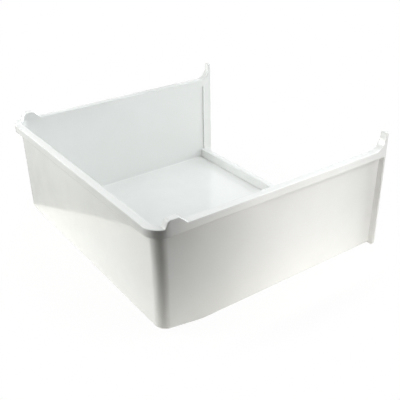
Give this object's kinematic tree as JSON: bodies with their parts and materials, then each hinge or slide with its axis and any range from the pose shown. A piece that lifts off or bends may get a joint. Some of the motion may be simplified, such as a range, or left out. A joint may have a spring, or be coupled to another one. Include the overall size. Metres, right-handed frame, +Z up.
{
  "type": "fridge drawer",
  "caption": "White moulded fridge drawer body: an open-fronted tray with a hollow running rim, rear stop humps and front posts that frame a bay for a separate front panel.",
  "frame": {"origin": "middle of the overall box, at the height of the flat underside", "axes": "+Z up, -Y towards the open front that the front panel closes, +Y towards the closed rear, X across the drawer"},
  "size_m": [0.45, 0.404, 0.1925],
  "materials": {
    "white_plastic": "smooth and glossy, as moulded"
  },
  "bodies": {
    "root": {"drawer_body": "white_plastic"}
  },
  "joints": []
}
